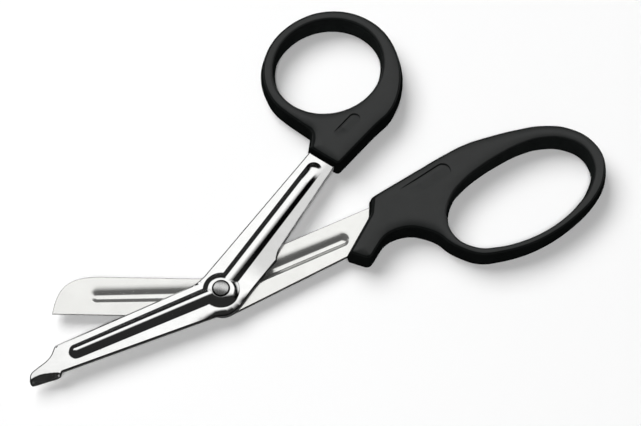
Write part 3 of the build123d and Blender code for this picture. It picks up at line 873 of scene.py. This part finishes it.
# ------------------------------------------------------------------ handles
def stadium(p, panel):
    """Distance within a stadium-shaped panel, negative outside, and place across it."""
    a, b, r = np.asarray(panel[0]), np.asarray(panel[1]), panel[2]
    ab = b - a
    t = np.clip(((p - a) @ ab) / (ab @ ab), 0, 1)
    d = np.linalg.norm(p - (a + t[:, None] * ab), axis=1)
    u = unit(ab)
    across = ((p - a) @ A(-u[1], u[0])) / r
    along = ((p - a) @ u) / np.linalg.norm(ab)
    return r - d, across, along


def rim(z_r, theta):
    """Inset and height at angle theta of a rim of radius z_r on the drafted wall."""
    zt = HANDLE_T - z_r + z_r * math.sin(DRAFT)
    centre = (zt - MID) * math.tan(DRAFT) + z_r * math.cos(DRAFT)
    return centre - z_r * np.cos(theta), HANDLE_T - z_r + z_r * np.sin(theta)


def run_distance(p, ring):
    """Distance of each point from a closed polyline."""
    a = ring
    ab = np.roll(ring, -1, 0) - a
    sq = np.maximum((ab ** 2).sum(1), 1e-12)
    out = np.empty(len(p))
    for i in range(0, len(p), 2000):
        q = p[i:i + 2000, None, :] - a[None]
        t = np.clip((q * ab).sum(2) / sq, 0, 1)
        out[i:i + 2000] = np.sqrt(((q - t[:, :, None] * ab) ** 2).sum(2).min(1))
    return out


CROWN_W, CROWN_H = 2.7, 0.28


def handle(name, outer, hole, r_outer, r_hole, panel, depth, body, node):
    b = Build()
    thetas = np.radians([10, 22, 35, 48, 61, 75, 90])
    sides, tops = [], []
    for loop, rr, sign in ((outer, r_outer, 1), (hole, r_hole, -1)):
        n = side_normals(loop) * sign
        m = reach(loop, n)
        r = rr(loop)
        top = inset(loop, n, m, rim(r, math.pi / 2)[0])
        sides.append((loop, sign, n, m, r, top))
        tops.append(join(top))

    def height(p):
        # the upper face falls away a little towards its edges
        fall = sum(np.clip(1 - run_distance(p, t) / CROWN_W, 0, 1) ** 2 for t in tops)
        d, across, along = stadium(p, panel)
        wall = np.clip(d / 0.32, 0, 1)
        wall = wall * wall * (3 - 2 * wall)
        # floor rises to the face on the side towards the blades and at the foot
        slope = np.clip((across + 0.9) / 1.3, 0, 1) * np.clip((along + 0.1) / 0.5, 0, 1)
        return HANDLE_T - CROWN_H * fall - depth * wall * slope

    for loop, sign, n, m, r, top in sides:
        out = np.column_stack([-n, np.zeros(len(n))])
        up = A(0, 0, 1)
        fall = HANDLE_T - height(top)
        # one-sided slope of the face at its edge
        face = lean(height, top + n * 0.05)
        rings, norms = [], []
        for th in thetas[::-1]:
            d, z = rim(r, th)
            rings.append(np.column_stack([inset(loop, n, m, d), HANDLE_T - z]))
            norms.append(out * math.cos(th) - up * math.sin(th))
        rings.append(np.column_stack([inset(loop, n, m, 0.01), np.full(len(loop), MID)]))
        norms.append(out)
        for th in thetas:
            d, z = rim(r, th)
            rings.append(np.column_stack([inset(loop, n, m, d), z - fall]))
            norms.append(out * math.cos(th) + face * math.sin(th))
        k = len(thetas)
        # the face's finish runs further down the rim inside a ring than outside it
        n_face, n_rim = (2, 5) if sign > 0 else (4, 6)
        # rim bands take the rim plastic (painted shade), outer walls the wall plastic (painted shade), hole walls the
        # bore plastic (painted light)
        for i, j, mat in ((0, n_face, 0), (n_face - 1, n_rim, 2), (n_rim - 1, 2 * k + 2 - n_rim, 1 if sign > 0 else 3),
                          (2 * k + 1 - n_rim, 2 * k + 2 - n_face, 2), (2 * k + 1 - n_face, 2 * k + 1, 0)):
            b.bands(rings[i:j], norms[i:j], mat, outward=sign > 0)
    rows = []
    a, c, r = np.asarray(panel[0]), np.asarray(panel[1]), panel[2]
    u = unit(c - a)
    v = A(-u[1], u[0])
    length = np.linalg.norm(c - a)
    for k in np.concatenate([r - np.array([-0.05, 0.0, 0.09, 0.17, 0.25, 0.34, 0.45]), np.arange(0, r - 0.5, 0.4)]):
        k = max(0.02, k)
        for t in np.arange(0, length, 0.3):
            rows += [a + u * t + v * k, a + u * t - v * k]
        count = max(4, int(k * math.pi / 0.25))
        for g in np.linspace(-math.pi / 2, math.pi / 2, count):
            rows += [c + k * (u * math.cos(g) + v * math.sin(g)), a - k * (u * math.cos(g) + v * math.sin(g))]
    rows = thin(np.array(rows), 0.06)
    rows = rows[inside(rows, tops[0])]
    grid = flat_samples(outer, 2.0)
    grid = grid[inside(grid, tops[0]) & ~inside(grid, tops[1])]
    edge_rows = []
    for loop, sign, n, m, r, top in sides:
        for d in (0.35, 0.75, 1.2, 1.7, 2.3, 2.8):
            row = (top + n * d)[::2]
            row = row[inside(row, tops[0]) & ~inside(row, tops[1])]
            near = np.minimum(run_distance(row, tops[0]), run_distance(row, tops[1]))
            edge_rows.append(row[near > d - 0.03])
    edge_rows = thin(away(np.vstack(edge_rows), rows, 0.3), 0.3)
    coarse = away(grid, np.vstack(tops), 0.8)
    grid = away(grid, np.vstack(tops + [rows, edge_rows]), 0.8)
    patch(b, tops, np.vstack([rows, edge_rows, grid]), height, 0, True)
    patch(b, tops, coarse, lambda p: np.zeros(len(p)), 0, False)
    obj = b.make(name, [PLASTIC, PLASTIC_WALL_PAINTED_SHADE, PLASTIC_RIM_PAINTED_SHADE, PLASTIC_BORE_PAINTED_LIGHT])
    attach(obj, body)
    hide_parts(node)
    return obj


thumb_outer = closed(
    corner(THUMB_FRONT_L, THUMB_FRONT_R, THUMB_RING[0], 1.9),
    chain(THUMB_RING, (10.35, 12.33), (5.88, -4.29)),
    corner(THUMB_RING[-1], THUMB_NECK, THUMB_FRONT_L, 2.2),
    corner(THUMB_NECK, THUMB_FRONT_L, THUMB_FRONT_R, 1.2))
w = np.linspace(0, 2 * math.pi, 280, endpoint=False)
thumb_hole = A(*THUMB_HOLE) + np.stack([
    THUMB_HOLE_A * np.cos(w) * math.cos(THUMB_HOLE_ROT) - THUMB_HOLE_B * np.sin(w) * math.sin(THUMB_HOLE_ROT),
    THUMB_HOLE_A * np.cos(w) * math.sin(THUMB_HOLE_ROT) + THUMB_HOLE_B * np.sin(w) * math.cos(THUMB_HOLE_ROT)], 1)
finger_outer = closed(
    corner(FINGER_CORNER, FINGER_LOBE, FINGER_LOOP[0], 2.6),
    chain(FINGER_LOOP, (3.38, 6.04), (-14.97, -10.10)),
    corner(FINGER_LOOP[-1], FINGER_UPPER, FINGER_FRONT, 1.8),
    corner(FINGER_UPPER, FINGER_FRONT, FINGER_CORNER, 2.5),
    corner(FINGER_FRONT, FINGER_CORNER, FINGER_LOBE, 0.8))
finger_hole = chain(FINGER_HOLE)[:-1]


def blend_r(loop, wide, narrow, a, b):
    """Rim radius that goes from wide-bar to narrow-bar value along the line a to b."""
    a, b = A(*a), A(*b)
    t = np.clip(((loop - a) @ (b - a)) / ((b - a) @ (b - a)), 0, 1)
    t = t * t * (3 - 2 * t)
    return wide + (narrow - wide) * t


def thumb_rim(p):
    near_neck = np.exp(-((p - A(24.9, 49.2)) ** 2).sum(1) / 9.0)
    return blend_r(p, 0.9, 1.05, (36, 52), (28, 84)) + 1.1 * near_neck


def finger_rim(p):
    front = run_distance(p, A(FINGER_UPPER, FINGER_FRONT, FINGER_CORNER, FINGER_FRONT))
    near_top = np.exp(-((p - A(43.6, 29.4)) ** 2).sum(1) / 10.0)
    return blend_r(p, 0.9, 0.85, (60, 30), (84, 36)) + 0.35 * np.exp(-front ** 2 / 2.0) + 0.45 * near_top


handle("thumb_handle_plastic", thumb_outer, thumb_hole,
       thumb_rim, lambda p: blend_r(p, 0.8, 1.05, (36, 52), (28, 84)),
       THUMB_PANEL, 0.55, "thumb_half", "thumb_handle")
handle("finger_handle_plastic", finger_outer, finger_hole,
       finger_rim, lambda p: blend_r(p, 0.8, 0.75, (60, 30), (84, 36)),
       FINGER_PANEL, 0.55, "finger_half", "finger_handle")

# ------------------------------------------------------------------ stage
floor_mesh = bpy.data.meshes.new("floor")
floor_mesh.from_pydata([(-4, -4, 0), (4, -4, 0), (4, 4, 0), (-4, 4, 0)], [], [(0, 1, 2, 3)])
floor = bpy.data.objects.new("floor", floor_mesh)
bpy.context.scene.collection.objects.link(floor)
fmat, fnt, fsh, ftc = material("floor_pale")
fsh.inputs["Roughness"].default_value = 0.9
fsh.inputs["Specular IOR Level"].default_value = 0.0
fnt.links.new(ramp(fnt, noise(fnt, ftc, 6.0), [(0.3, (0.90, 0.90, 0.90)), (0.7, (0.91, 0.91, 0.91))]),
              fsh.inputs["Base Color"])
floor_mesh.materials.append(fmat)


def area(name, pos, aim, size_x, size_y, radiance):
    """Rectangular soft light with the given surface brightness, not mirrored."""
    data = bpy.data.lights.new(name, "AREA")
    data.shape = "RECTANGLE"
    data.size, data.size_y = size_x, size_y
    data.energy = radiance * math.pi * size_x * size_y
    obj = bpy.data.objects.new(name, data)
    obj.location = pos
    q = (Vector(aim) - Vector(pos)).to_track_quat("-Z", "Y")
    obj.rotation_euler = q.to_euler()
    bpy.context.scene.collection.objects.link(obj)
    obj.visible_glossy = False
    return obj


def softbox(name, corners, edges, bright, pos, size, turned):
    """Panel that only reflections see, its brightness falling off softly at its edges."""
    (x0, y0), (x1, y1) = corners
    mesh = bpy.data.meshes.new(name)
    mesh.from_pydata([(x0, y0, 0), (x0, y1, 0), (x1, y1, 0), (x1, y0, 0)], [], [(0, 1, 2, 3)])
    panel = bpy.data.objects.new(name, mesh)
    panel.location = pos
    panel.scale = (size, size, 1)
    panel.rotation_euler = [math.radians(a) for a in turned]
    panel.visible_camera = panel.visible_diffuse = panel.visible_shadow = False
    bpy.context.scene.collection.objects.link(panel)
    pmat = bpy.data.materials.new(name)
    pmat.use_nodes = True
    pnt = pmat.node_tree
    pnt.nodes.clear()
    pout, pem = pnt.nodes.new("ShaderNodeOutputMaterial"), pnt.nodes.new("ShaderNodeEmission")
    pnt.links.new(pem.outputs["Emission"], pout.inputs["Surface"])
    ptc, psep = pnt.nodes.new("ShaderNodeTexCoord"), pnt.nodes.new("ShaderNodeSeparateXYZ")
    pnt.links.new(ptc.outputs["Object"], psep.inputs["Vector"])
    strength = None
    for axis, dark, light in edges:
        edge = pnt.nodes.new("ShaderNodeMapRange")
        edge.interpolation_type = "SMOOTHSTEP"
        edge.inputs["From Min"].default_value, edge.inputs["From Max"].default_value = dark, light
        pnt.links.new(psep.outputs[axis], edge.inputs["Value"])
        times = pnt.nodes.new("ShaderNodeMath")
        times.operation = "MULTIPLY"
        pnt.links.new(edge.outputs["Result"], times.inputs[0])
        if strength is None:
            times.inputs[1].default_value = bright
        else:
            pnt.links.new(strength, times.inputs[1])
        strength = times.outputs[0]
    pnt.links.new(strength, pem.inputs["Strength"])
    mesh.materials.append(pmat)


# The overhead one is what the steel mirrors; its local units are tangents of the angle
# from the zenith. The upright one lights edges that face right.
softbox("softbox", ((-1.8, 0.05), (1.7, 1.9)),
        (("X", -1.7, -1.35), ("X", 1.1, 0.75), ("Y", 0.06, 0.33), ("Y", 1.25, 0.9)),
        1.97, (0, 0, 2.6), 2.6, (0, 0, -13.7))
softbox("side softbox", ((0.2, 0.05), (3.4, 1.7)),
        (("X", 0.25, 0.7), ("X", 3.35, 2.9), ("Y", 0.05, 0.2), ("Y", 1.65, 1.35)),
        1.6, (2.5, 0, 0), 1.0, (90, 0, 90))
# the key and fill light the table
area("key", (-1.94, 2.0, 2.5), (-1.94, 2.0, 0), 2.9, 3.25, 5.85)
area("fill", (0.0, -1.27, 2.72), (0, 0, 0), 0.6, 0.6, 36.8)

world = bpy.data.worlds.new("studio")
world.use_nodes = True
world.node_tree.nodes["Background"].inputs["Color"].default_value = (0.04, 0.04, 0.04, 1)
world.node_tree.nodes["Background"].inputs["Strength"].default_value = 1.0
bpy.context.scene.world = world
bpy.context.scene.view_settings.view_transform = "Standard"
bpy.context.scene.view_settings.look = "None"

# ------------------------------------------------------------------ camera
turn, tilt = math.radians(1.0854), math.radians(25.0)
right = Vector((math.cos(turn), math.sin(turn), 0))
ahead = Vector((-math.sin(turn) * math.sin(tilt), math.cos(turn) * math.sin(tilt), -math.cos(tilt)))
target = Vector((28.9187 + PIVOT[0], 26.3376 + PIVOT[1], 4.2)) * 0.001
cam_data = bpy.data.cameras.new("camera")
cam_data.sensor_width = 36.0
cam_data.sensor_fit = "HORIZONTAL"
cam_data.lens = 100.0
cam = bpy.data.objects.new("camera", cam_data)
cam.location = target - ahead * 0.539562
above = right.cross(ahead)
cam.rotation_euler = Matrix((right, above, -ahead)).transposed().to_euler()
cam_data.clip_start, cam_data.clip_end = 0.01, 20.0
bpy.context.scene.collection.objects.link(cam)
bpy.context.scene.camera = cam
